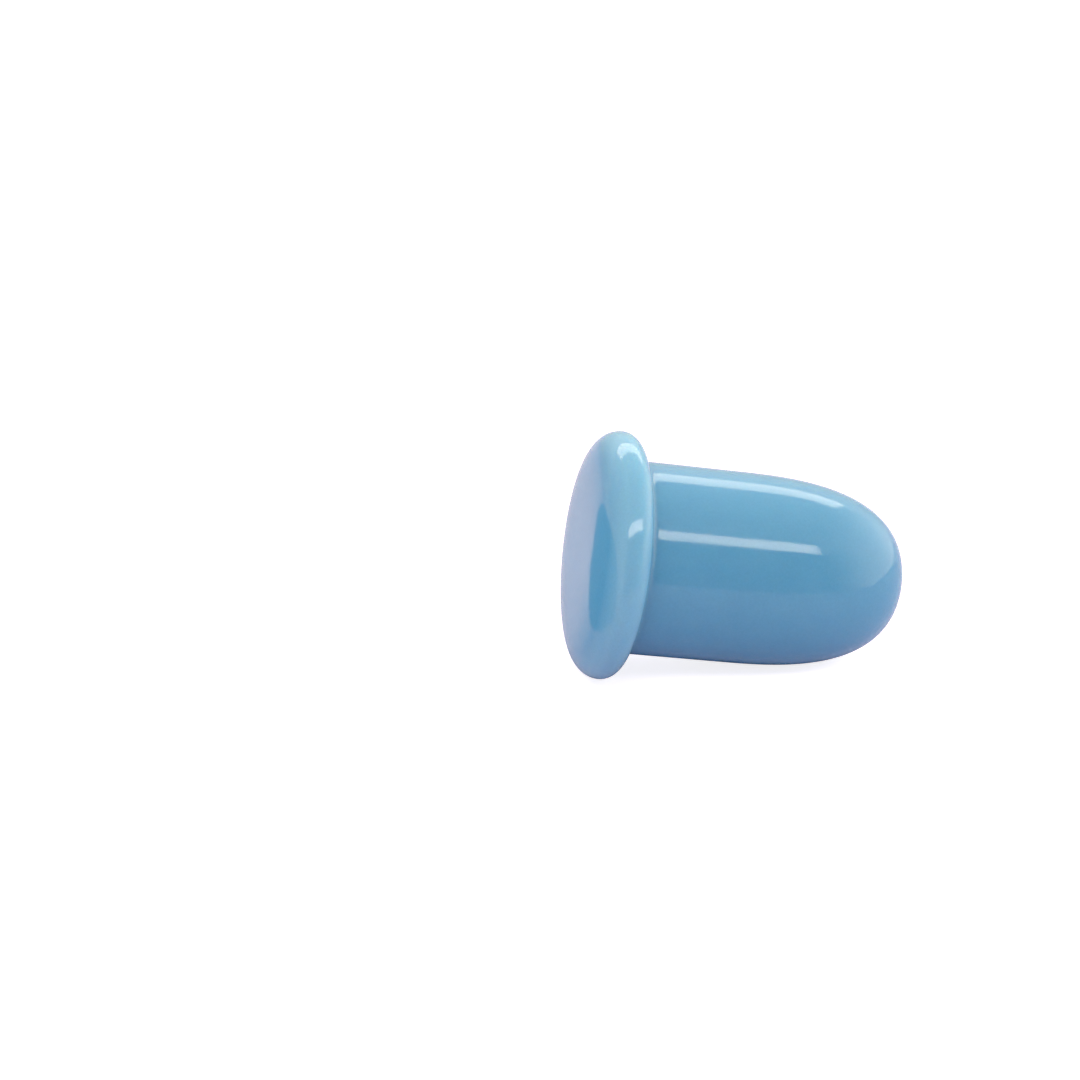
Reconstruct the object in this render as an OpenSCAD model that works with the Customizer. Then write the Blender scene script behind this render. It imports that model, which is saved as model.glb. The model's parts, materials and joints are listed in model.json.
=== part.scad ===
// Mushroom-form silicone massage cup with a closed, domed head and a bullet-shaped grip.
// It lies on its side as it does on a table: the rolled edge of the head and the start of
// the nose touch the ground, so the axis dips a little towards the nose.

/* [Head] */
// Diameter of the head across its rolled edge
head_d = 50; // [44:0.5:80]
// Rise of the domed face in front of the widest line of the edge
face_rise = 6.4; // [3:0.1:10]
// Flatness of the middle of the face: 2 is an ellipse, more is flatter
face_flatness = 5.8; // [2:0.1:8]
// Fullness of the front of the rolled edge: 2 is an ellipse, more is squarer
edge_fullness = 2; // [1.3:0.05:2.5]
// Depth of the rolled edge from its widest line back to the neck
edge_back = 3.4; // [3:0.1:9]
// Diameter where the domed face meets the rolled edge
face_d = 36; // [20:0.5:44]

/* [Grip] */
// Diameter of the straight barrel of the grip
grip_d = 39; // [26:0.1:45]
// Length of the straight barrel behind the neck
barrel_len = 20; // [8:0.1:40]
// Length of the rounded nose
nose_len = 35.5; // [16:0.1:60]
// Fullness of the nose: 2 is an ellipse, more is squarer
nose_fullness = 2.7; // [2:0.1:4]
// Radius of the inside corner where the grip meets the head
neck_fillet = 1.8; // [0.3:0.1:2.4]

/* [Hidden] */

// Fineness of the curved outlines and of the lathe
curve_steps = 30;
fillet_steps = 6;
lathe_fn = 180;
// Largest tilt tried and halvings used when the resting tilt is found
tilt_limit = 40;
tilt_halvings = 40;

head_r = head_d / 2;
face_r = face_d / 2;
grip_r = grip_d / 2;
neck_r = grip_r + neck_fillet;

// Stations along the axis, from the middle of the face towards the nose
s_wide = face_rise;
s_neck = s_wide + edge_back;
s_barrel = s_neck + neck_fillet;
s_nose = s_barrel + barrel_len;
s_tip = s_nose + nose_len;

// Outlines are lists of [radius, station]
face_line = [for (i = [0:curve_steps]) let (t = 90 * i / curve_steps)
    let (flat = max(1 - pow(sin(t), face_flatness), 0))
    [head_r * sin(t), s_wide * (1 - pow(flat, 1 / edge_fullness))]];

back_line = [for (i = [1:curve_steps]) let (t = 90 * i / curve_steps)
    [neck_r + (head_r - neck_r) * cos(t), s_wide + edge_back * sin(t)]];

neck_line = [for (i = [0:fillet_steps]) let (t = 90 * i / fillet_steps)
    [neck_r - neck_fillet * sin(t), s_barrel - neck_fillet * cos(t)]];

nose_line = [for (i = [0:curve_steps]) let (t = 90 * i / curve_steps)
    let (reach = pow(pow(cos(t), nose_fullness) + pow(sin(t), nose_fullness), -1 / nose_fullness))
    [grip_r * cos(t) * reach, s_nose + nose_len * sin(t) * reach]];

head_line = concat(face_line, back_line);

// How far an outline reaches down from the axis when the axis dips by a tilt
function reach_down(line, tilt) = max([for (p = line) p.x * cos(tilt) + p.y * sin(tilt)]);

// Tilt at which head and nose touch the ground together, found by halving
function resting_tilt(low, high, left) =
    let (mid = (low + high) / 2)
    left == 0 ? mid :
    reach_down(head_line, mid) > reach_down(nose_line, mid)
        ? resting_tilt(mid, high, left - 1)
        : resting_tilt(low, mid, left - 1);

tilt = resting_tilt(0, tilt_limit, tilt_halvings);
face_height = reach_down(head_line, tilt);

// Ends of the resting shape along X, measured from the middle of the face
x_low = min([for (p = head_line) p.y * cos(tilt) - p.x * sin(tilt)]);
x_high = max([for (p = nose_line) p.y * cos(tilt) + p.x * sin(tilt)]);

// Turns a half section about the axis and lays it in its resting place
module lathe() {
    translate([-(x_low + x_high) / 2, 0, face_height])
        rotate([0, 90 + tilt, 0])
            rotate_extrude($fn = lathe_fn) children();
}

module head_section() {
    polygon(concat(head_line, [[0, s_neck]]));
}

// Closed face that meets the skin
module domed_face() {
    color("#5196c0") lathe() intersection() {
        head_section();
        square([face_r, s_neck]);
    }
}

// Thick rounded edge around the face
module rolled_edge() {
    color("#7fb2d4") lathe() difference() {
        head_section();
        square([face_r, s_neck]);
    }
}

// Straight part of the grip, flared by the neck fillet where it meets the head
module grip_barrel() {
    color("#5e9bc4") lathe()
        polygon(concat([[0, s_neck]], neck_line, [[grip_r, s_nose], [0, s_nose]]));
}

// Rounded end of the grip
module grip_nose() {
    color("#6aa3ca") lathe()
        polygon(concat([[0, s_nose]], nose_line));
}

domed_face();
rolled_edge();
grip_barrel();
grip_nose();
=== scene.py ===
"""Looks of a mushroom-form massage cup in milky, high-gloss silicone, lying on its side.

The cup is one moulding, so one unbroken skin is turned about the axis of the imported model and
stands for its four zones. Everything is in metres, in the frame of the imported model.
"""

import json
import math

import bmesh
import bpy
from mathutils import Matrix, Vector


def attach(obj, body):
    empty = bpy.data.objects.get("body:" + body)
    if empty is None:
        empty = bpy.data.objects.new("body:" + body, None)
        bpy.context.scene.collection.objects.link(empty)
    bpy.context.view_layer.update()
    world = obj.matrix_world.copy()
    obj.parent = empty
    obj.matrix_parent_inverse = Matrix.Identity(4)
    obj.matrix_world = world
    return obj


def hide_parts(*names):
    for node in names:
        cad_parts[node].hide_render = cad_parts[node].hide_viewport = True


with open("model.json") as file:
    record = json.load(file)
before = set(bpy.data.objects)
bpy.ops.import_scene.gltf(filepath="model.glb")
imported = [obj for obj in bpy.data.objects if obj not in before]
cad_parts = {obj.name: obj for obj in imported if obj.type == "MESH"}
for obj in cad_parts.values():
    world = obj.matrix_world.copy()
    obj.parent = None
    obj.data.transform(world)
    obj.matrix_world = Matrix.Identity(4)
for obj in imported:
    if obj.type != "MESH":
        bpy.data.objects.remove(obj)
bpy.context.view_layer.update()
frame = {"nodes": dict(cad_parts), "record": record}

MM = 0.001

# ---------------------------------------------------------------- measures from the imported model

# The grip mount lies on the cup's axis and points to the nose
grip = frame["record"]["mounts"][0]
on_axis = Vector(grip["pos_m"])
along = Vector(grip["axis"]).normalized()


def turned_corners(node):
    """(radius about the axis, station along it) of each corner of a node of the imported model."""
    found = []
    for corner in frame["nodes"][node].data.vertices:
        station = (corner.co - on_axis).dot(along)
        radius = (corner.co - on_axis - station * along).length
        found.append((radius, station))
    return found


face_corners = turned_corners("domed_face")
edge_corners = turned_corners("rolled_edge")
barrel_corners = turned_corners("grip_barrel")
nose_corners = turned_corners("grip_nose")

# The middle of the face is station zero
face_middle = on_axis + along * min(station for radius, station in face_corners)
zero = (face_middle - on_axis).dot(along)
head_r, widest = max(edge_corners)
s_wide = widest - zero
s_neck = max(station for radius, station in face_corners) - zero
s_nose = min(station for radius, station in nose_corners) - zero
s_tip = max(station for radius, station in nose_corners) - zero
neck_r = max(radius for radius, station in barrel_corners)
grip_r = grip["dims"]["r_mm"] * MM
neck_fillet = neck_r - grip_r
s_barrel = s_neck + neck_fillet

# ---------------------------------------------------------------- outline of the skin

# Flatness of the middle of the face and fullness of its edge: 2 is an ellipse, more is flatter
FACE_FLATNESS = 5.8
EDGE_FULLNESS = 2
# Fullness of the nose: 2 is an ellipse, more is squarer
NOSE_FULLNESS = 2.7

FACE_STEPS = 64
BACK_STEPS = 24
FILLET_STEPS = 8
BARREL_STEPS = 12
NOSE_STEPS = 56
# Steps of the full turn
TURN_STEPS = 256


def quarter_turn(steps):
    """Angles from 0 to a right angle, without the first."""
    return [math.pi / 2 * i / steps for i in range(1, steps + 1)]


def face_outline():
    """Domed face, from its middle to the widest line."""
    points = [(0.0, 0.0)]
    for turn in quarter_turn(FACE_STEPS):
        flat = 1 - math.sin(turn) ** FACE_FLATNESS
        points.append((head_r * math.sin(turn), s_wide * (1 - max(flat, 0) ** (1 / EDGE_FULLNESS))))
    return points


def back_outline():
    """Back of the rolled edge, from the widest line to the neck, as a quarter of an ellipse."""
    return [
        (neck_r + (head_r - neck_r) * math.cos(turn), s_wide + (s_neck - s_wide) * math.sin(turn))
        for turn in quarter_turn(BACK_STEPS)
    ]


def fillet_outline():
    """Tight inside corner between the head and the grip."""
    return [
        (neck_r - neck_fillet * math.sin(turn), s_barrel - neck_fillet * math.cos(turn))
        for turn in quarter_turn(FILLET_STEPS)
    ]


def barrel_outline():
    """Straight barrel up to the start of the nose."""
    step = (s_nose - s_barrel) / BARREL_STEPS
    return [(grip_r, s_barrel + step * i) for i in range(1, BARREL_STEPS + 1)]


def nose_outline():
    """Rounded nose as a quarter of a superellipse, stepped by its polar angle."""
    points = []
    for turn in quarter_turn(NOSE_STEPS)[:-1]:
        c, s = math.cos(turn), math.sin(turn)
        reach = (c ** NOSE_FULLNESS + s ** NOSE_FULLNESS) ** (-1 / NOSE_FULLNESS)
        points.append((grip_r * c * reach, s_nose + (s_tip - s_nose) * s * reach))
    points.append((0.0, s_tip))
    return points


# ---------------------------------------------------------------- meshes


def new_object(name, bm, material):
    """Turns a bmesh into a smooth-shaded object at the origin."""
    mesh = bpy.data.meshes.new(name)
    bm.to_mesh(mesh)
    bm.free()
    mesh.shade_smooth()
    mesh.materials.append(material)
    made = bpy.data.objects.new(name, mesh)
    bpy.context.scene.collection.objects.link(made)
    return made


# Share of the painted glow, a paler blue that stands in for light shining through the thin rolled edge,
# kept on each corner of the skin: none at the neck's radius, all of it from just inside the widest line
PAINTED_GLOW_SHARE = "painted_glow_share"
PAINTED_GLOW_MARGIN = 0.6 * MM
painted_glow_from = neck_r
painted_glow_to = head_r - PAINTED_GLOW_MARGIN
# Corners nearer to each other than this become one
WELD = 0.001 * MM


def turned_skin(name, outline, material):
    """Spins an outline of (radius, station) into a closed skin and lays it on the cup's axis."""
    bm = bmesh.new()
    corners = [bm.verts.new((radius, 0, station)) for radius, station in outline]
    for first, second in zip(corners, corners[1:]):
        bm.edges.new((first, second))
    bmesh.ops.spin(
        bm,
        geom=bm.verts[:] + bm.edges[:],
        cent=(0, 0, 0),
        axis=(0, 0, 1),
        angle=2 * math.pi,
        steps=TURN_STEPS,
        use_merge=True,
    )
    bmesh.ops.remove_doubles(bm, verts=bm.verts[:], dist=WELD)
    bmesh.ops.recalc_face_normals(bm, faces=bm.faces[:])
    # Painted glow: how much of the paler blue, which stands in for light shining through the thin rolled
    # edge, each corner takes
    painted_glow_share = bm.verts.layers.float.new(PAINTED_GLOW_SHARE)
    for corner in bm.verts:
        radius = math.hypot(corner.co.x, corner.co.y)
        corner[painted_glow_share] = min(max((radius - painted_glow_from) / (painted_glow_to - painted_glow_from), 0), 1)
    lay_down = Matrix.Translation(face_middle) @ along.to_track_quat("Z", "Y").to_matrix().to_4x4()
    bmesh.ops.transform(bm, matrix=lay_down, verts=bm.verts[:])
    return new_object(name, bm, material)


# ---------------------------------------------------------------- materials


def linear(hex_colour):
    """Linear colour of an sRGB hex value."""
    parts = [int(hex_colour[i:i + 2], 16) / 255 for i in (1, 3, 5)]
    return [p / 12.92 if p <= 0.04045 else ((p + 0.055) / 1.055) ** 2.4 for p in parts] + [1]


def add_node(tree, kind, settings=None, links=None):
    """Adds a node, sets its properties and sockets by name, and links outputs to its inputs."""
    node = tree.nodes.new(kind)
    for key, value in (settings or {}).items():
        if isinstance(key, str) and hasattr(node, key):
            setattr(node, key, value)
        else:
            node.inputs[key].default_value = value
    for key, output in (links or {}).items():
        tree.links.new(output, node.inputs[key])
    return node


# Sockets of the Mix node, which keeps separate ones for colours and for plain numbers
MIX_SHARE = 0
COLOUR_A, COLOUR_B, COLOUR_OUT = 6, 7, 2
NUMBER_A, NUMBER_B, NUMBER_OUT = 2, 3, 0

# Noise textures stay mostly between these two values
NOISE_LOW = 0.3
NOISE_HIGH = 0.7

# Pigment clouds left by mixing, from one to the next, and the two blues they go between
CLOUD_SIZE = 9 * MM
DEEPER_BLUE = "#589bc4"
LIGHTER_BLUE = "#60a1ca"
# Pigment and filler grains: under 0.05 mm in the real one, drawn larger so that they show
GRAIN_SIZE = 0.4 * MM
GRAIN_TONE = 0.04
GRAIN_HEIGHT = 0.004 * MM
# Waviness of the polished skin, from crest to crest, from shrinking in the mould
WAVE_SIZE = 7 * MM
WAVE_HEIGHT = 0.06 * MM
# Painted light: the thin rolled edge is lit from both sides and looks paler than the thick body; this
# paler blue paints that in
PAINTED_GLOW_BLUE = "#78b0d0"
# The mould's polish, a shade duller where the clouds are pale
GLOSSIEST = 0.08
DULLEST = 0.12
# A little above silicone rubber's usual 1.4, for the strong gloss
SILICONE_IOR = 1.5
# How deep blue light goes into the silicone, and the shares of that for red, green and blue
LIGHT_DEPTH = 7 * MM
DEPTH_SHARES = (0.4, 0.75, 1.0)


def milky_silicone():
    """Moulded, platinum-cured silicone from a polished mould: milky inside, wet-looking gloss outside.

    Light goes several millimetres into it, so shadows are soft; the skin keeps narrow highlights.
    """
    material = bpy.data.materials.new("milky_blue_moulded_silicone")
    material.use_nodes = True
    tree = material.node_tree
    tree.nodes.clear()
    place = add_node(tree, "ShaderNodeTexCoord").outputs["Object"]
    clouds = add_node(
        tree, "ShaderNodeTexNoise",
        {"Scale": 1 / CLOUD_SIZE, "Detail": 3.0, "Roughness": 0.55}, {"Vector": place},
    )
    grains = add_node(
        tree, "ShaderNodeTexNoise",
        {"Scale": 1 / GRAIN_SIZE, "Detail": 2.0, "Roughness": 0.6}, {"Vector": place},
    )
    waves = add_node(
        tree, "ShaderNodeTexNoise",
        {"Scale": 1 / WAVE_SIZE, "Detail": 1.0, "Roughness": 0.4}, {"Vector": place},
    )
    cloudy = add_node(
        tree, "ShaderNodeMix",
        {"data_type": "RGBA", COLOUR_A: linear(DEEPER_BLUE), COLOUR_B: linear(LIGHTER_BLUE)},
        {MIX_SHARE: clouds.outputs["Fac"]},
    )
    # Painted light: mixes in the paler blue that stands in for light shining through the thin rolled edge
    painted_glow_node = add_node(tree, "ShaderNodeAttribute", {"attribute_name": PAINTED_GLOW_SHARE})
    with_painted_glow = add_node(
        tree, "ShaderNodeMix", {"data_type": "RGBA", COLOUR_B: linear(PAINTED_GLOW_BLUE)},
        {MIX_SHARE: painted_glow_node.outputs["Fac"], COLOUR_A: cloudy.outputs[COLOUR_OUT]},
    )
    grain_tone = add_node(
        tree, "ShaderNodeMapRange",
        {
            "From Min": NOISE_LOW,
            "From Max": NOISE_HIGH,
            "To Min": 1 - GRAIN_TONE,
            "To Max": 1 + GRAIN_TONE,
        },
        {"Value": grains.outputs["Fac"]},
    )
    grainy = add_node(
        tree, "ShaderNodeVectorMath", {"operation": "SCALE"},
        {0: with_painted_glow.outputs[COLOUR_OUT], "Scale": grain_tone.outputs["Result"]},
    )
    gloss = add_node(
        tree, "ShaderNodeMapRange",
        {"From Min": NOISE_LOW, "From Max": NOISE_HIGH, "To Min": GLOSSIEST, "To Max": DULLEST},
        {"Value": clouds.outputs["Fac"]},
    )
    wavy = add_node(
        tree, "ShaderNodeBump", {"Strength": 0.25, "Distance": WAVE_HEIGHT},
        {"Height": waves.outputs["Fac"]},
    )
    grained = add_node(
        tree, "ShaderNodeBump", {"Strength": 0.2, "Distance": GRAIN_HEIGHT},
        {"Height": grains.outputs["Fac"], "Normal": wavy.outputs["Normal"]},
    )
    surface = add_node(
        tree, "ShaderNodeBsdfPrincipled",
        {
            "IOR": SILICONE_IOR,
            "Subsurface Weight": 1.0,
            "Subsurface Radius": DEPTH_SHARES,
            "Subsurface Scale": LIGHT_DEPTH,
        },
        {
            "Base Color": grainy.outputs["Vector"],
            "Roughness": gloss.outputs["Result"],
            "Normal": grained.outputs["Normal"],
        },
    )
    add_node(tree, "ShaderNodeOutputMaterial", None, {"Surface": surface.outputs["BSDF"]})
    return material


# Roughness of the matt things that stand round the cup
MATT = 0.8
# The table is a cool white, and extra brightness lifts it to plain white where it is looked at
TABLE_TONE = "#cbc2db"
TABLE_LIFT = 0.8


def matt_white_table():
    """Matt white laminate that carries the cup: plain, bright, with only a soft contact shadow."""
    material = bpy.data.materials.new("matt_white_table")
    material.use_nodes = True
    tree = material.node_tree
    tree.nodes.clear()
    laminate = add_node(
        tree, "ShaderNodeBsdfPrincipled", {"Base Color": linear(TABLE_TONE), "Roughness": MATT}
    )
    lit = add_node(tree, "ShaderNodeEmission", {"Color": linear("#ffffff"), "Strength": TABLE_LIFT})
    lifted = add_node(
        tree, "ShaderNodeAddShader", None, {0: laminate.outputs["BSDF"], 1: lit.outputs["Emission"]}
    )
    seen = add_node(tree, "ShaderNodeLightPath").outputs["Is Camera Ray"]
    both = add_node(
        tree, "ShaderNodeMixShader", None,
        {0: seen, 1: laminate.outputs["BSDF"], 2: lifted.outputs["Shader"]},
    )
    add_node(tree, "ShaderNodeOutputMaterial", None, {"Surface": both.outputs["Shader"]})
    return material


# ---------------------------------------------------------------- the cup

cup = turned_skin(
    "massage_cup_moulding",
    face_outline() + back_outline() + fillet_outline() + barrel_outline() + nose_outline(),
    milky_silicone(),
)
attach(cup, "root")
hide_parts("domed_face", "rolled_edge", "grip_barrel", "grip_nose")

# ---------------------------------------------------------------- floor, light and camera

# Blue card beside the cup, seen only in its gloss: how far in front of the face it stands, where
# along Y its highest point is, how far it reaches from there to the front and back, and its height
CARD_BLUE = "#4f93bb"
CARD_AWAY = 30 * MM
CARD_PEAK = -10 * MM
CARD_FRONT = 40 * MM
CARD_BACK = 80 * MM
CARD_HEIGHT = 42 * MM
CARD_SEGMENTS = 48


def blue_card():
    """Upright, hill-shaped blue card: its darker reflection shows the curve of the domed face."""
    material = bpy.data.materials.new("matt_blue_card")
    material.use_nodes = True
    surface = material.node_tree.nodes["Principled BSDF"]
    surface.inputs["Base Color"].default_value = linear(CARD_BLUE)
    surface.inputs["Roughness"].default_value = MATT
    # Upper half of an upright disc, stretched to its height and to its reach each way
    bm = bmesh.new()
    bmesh.ops.create_circle(bm, cap_ends=True, segments=CARD_SEGMENTS, radius=1)
    upright = Matrix.Rotation(math.pi / 2, 3, "Y")
    bmesh.ops.rotate(bm, verts=bm.verts[:], cent=(0, 0, 0), matrix=upright)
    everything = bm.verts[:] + bm.edges[:] + bm.faces[:]
    bmesh.ops.bisect_plane(
        bm, geom=everything, dist=WELD, plane_co=(0, 0, 0), plane_no=(0, 0, -1), clear_outer=True
    )
    back_half = [corner for corner in bm.verts if corner.co.y > 0]
    front_half = [corner for corner in bm.verts if corner.co.y <= 0]
    bmesh.ops.scale(bm, verts=back_half, vec=(1, CARD_BACK, CARD_HEIGHT))
    bmesh.ops.scale(bm, verts=front_half, vec=(1, CARD_FRONT, CARD_HEIGHT))
    place = (face_middle.x - CARD_AWAY, CARD_PEAK, 0)
    bmesh.ops.translate(bm, verts=bm.verts[:], vec=place)
    card = new_object("blue_card", bm, material)
    card.visible_camera = False
    card.visible_diffuse = False
    card.visible_shadow = False


# The table reaches from a little in front of the cup to far behind it
TABLE_HALF = 3.0
TABLE_FRONT = 0.16
# Distance of the soft boxes from the cup, and their slightly warm white
LAMP_DISTANCE = 0.9
LAMP_TONE = "#fff5e4"
# The tent's warm white, and its brightness round the X axis, by degrees from the horizon on the
# camera's side, up and over: dim in front, brightest above the back of the table
TENT_TONE = "#fcf2e4"
TENT_BANDS = [
    (-180, 0.8),
    (-60, 1.0),
    (-40, 0.3),
    (41, 0.3),
    (55, 0.95),
    (127, 1.15),
    (150, 1.5),
    (170, 0.9),
    (180, 0.8),
]
# Brightness that a full step of the colour ramp stands for
TENT_PEAK = 2.0
# Brightness of its two ends, and where along X each end begins and is complete
TENT_RIGHT = 2.4
RIGHT_BLEND = (0.6, 1.0)
TENT_LEFT = 1.2
LEFT_BLEND = (-0.45, -0.7)


def table():
    """Plain pale floor at the height that the cup rests on."""
    bm = bmesh.new()
    bmesh.ops.create_grid(bm, x_segments=1, y_segments=1, size=TABLE_HALF)
    bmesh.ops.translate(bm, vec=(0, TABLE_HALF - TABLE_FRONT, 0), verts=bm.verts[:])
    floor = new_object("table_top", bm, matt_white_table())


def soft_box(name, low_angle, high_angle, left_angle, right_angle, radiance):
    """Flat soft box parallel to X, given by the angles at which the cup sees its four sides.

    Low and high angles run from the camera's horizon up and over; left and right lean along X.
    """
    lowest, highest = math.radians(low_angle), math.radians(high_angle)
    left = LAMP_DISTANCE * math.tan(math.radians(left_angle))
    right = LAMP_DISTANCE * math.tan(math.radians(right_angle))
    middle = (lowest + highest) / 2
    lamp = bpy.data.lights.new(name, "AREA")
    lamp.shape = "RECTANGLE"
    lamp.size = right - left
    lamp.size_y = 2 * LAMP_DISTANCE * math.tan((highest - lowest) / 2)
    lamp.color = linear(LAMP_TONE)[:3]
    lamp.energy = radiance * math.pi * lamp.size * lamp.size_y
    lamp_side = Vector((0, -math.cos(middle), math.sin(middle)))
    made = bpy.data.objects.new(name, lamp)
    made.location = Vector(((left + right) / 2, 0, grip_r)) + lamp_side * LAMP_DISTANCE
    made.rotation_euler = (-lamp_side).to_track_quat("-Z", "Y").to_euler()
    made.visible_camera = False
    bpy.context.scene.collection.objects.link(made)


def tent_end(tree, sideways, blend, brightness, middle):
    """Brightness along X that passes smoothly from the middle's to that of one end of the tent."""
    start, end = blend
    share = add_node(
        tree, "ShaderNodeMapRange",
        {"interpolation_type": "SMOOTHSTEP", "From Min": start, "From Max": end},
        {"Value": sideways},
    )
    mixed = add_node(
        tree, "ShaderNodeMix", {"data_type": "FLOAT", NUMBER_B: brightness},
        {MIX_SHARE: share.outputs["Result"], NUMBER_A: middle},
    )
    return mixed.outputs[NUMBER_OUT]


def studio_surround():
    """White tent round the table, with a dim opening towards the camera. Seen directly, it is white."""
    world = bpy.data.worlds.new("studio")
    world.use_nodes = True
    tree = world.node_tree
    tree.nodes.clear()
    way = add_node(tree, "ShaderNodeTexCoord").outputs["Generated"]
    parts = add_node(tree, "ShaderNodeSeparateXYZ", None, {0: way})
    forward = add_node(tree, "ShaderNodeMath", {"operation": "MULTIPLY", 1: -1.0}, {0: parts.outputs["Y"]})
    height_angle = add_node(
        tree, "ShaderNodeMath", {"operation": "ARCTAN2"},
        {0: parts.outputs["Z"], 1: forward.outputs["Value"]},
    )
    share = add_node(
        tree, "ShaderNodeMapRange", {"From Min": -math.pi, "From Max": math.pi},
        {"Value": height_angle.outputs["Value"]},
    )
    band = add_node(tree, "ShaderNodeValToRGB", None, {"Fac": share.outputs["Result"]})
    steps = band.color_ramp.elements
    while len(steps) < len(TENT_BANDS):
        steps.new(0.5)
    for step, (angle, brightness) in zip(steps, TENT_BANDS):
        step.position = (angle + 180) / 360
        step.color = (brightness / TENT_PEAK,) * 3 + (1,)
    along_band = add_node(
        tree, "ShaderNodeMath", {"operation": "MULTIPLY", 1: TENT_PEAK}, {0: band.outputs["Color"]}
    )
    sideways = parts.outputs["X"]
    with_right = tent_end(tree, sideways, RIGHT_BLEND, TENT_RIGHT, along_band.outputs["Value"])
    with_both = tent_end(tree, sideways, LEFT_BLEND, TENT_LEFT, with_right)
    room = add_node(
        tree, "ShaderNodeBackground", {"Color": linear(TENT_TONE)}, {"Strength": with_both}
    )
    white = add_node(tree, "ShaderNodeBackground", {"Color": linear("#ffffff")})
    seen = add_node(tree, "ShaderNodeLightPath").outputs["Is Camera Ray"]
    both = add_node(
        tree, "ShaderNodeMixShader", None,
        {0: seen, 1: room.outputs["Background"], 2: white.outputs["Background"]},
    )
    add_node(tree, "ShaderNodeOutputWorld", None, {"Surface": both.outputs["Shader"]})
    bpy.context.scene.world = world


# Camera's place in head radii (left of the cup's middle, in front of it, above the table), its
# dip below level and turn to the right in degrees, and its lens and sensor width in millimetres
CAMERA_PLACE = (-3.166, -11.616, 5.686)
CAMERA_DIP = 21.172
CAMERA_TURN = 7.72
CAMERA_LENS = 52.63
CAMERA_SENSOR = 36


def camera():
    """Looks a little down on the cup from the front, slightly to the side of its face."""
    lens = bpy.data.cameras.new("camera")
    lens.sensor_width = CAMERA_SENSOR
    lens.lens = CAMERA_LENS
    made = bpy.data.objects.new("camera", lens)
    made.location = Vector(CAMERA_PLACE) * head_r
    made.rotation_euler = (math.radians(90 - CAMERA_DIP), 0, math.radians(-CAMERA_TURN))
    bpy.context.scene.collection.objects.link(made)
    bpy.context.scene.camera = made


table()
blue_card()
soft_box(
    "rear_soft_box", low_angle=127, high_angle=144, left_angle=-24, right_angle=40, radiance=3.1
)
soft_box(
    "front_soft_box", low_angle=42, high_angle=53, left_angle=-30, right_angle=37, radiance=6.4
)
studio_surround()
camera()
bpy.context.scene.view_settings.view_transform = "Standard"
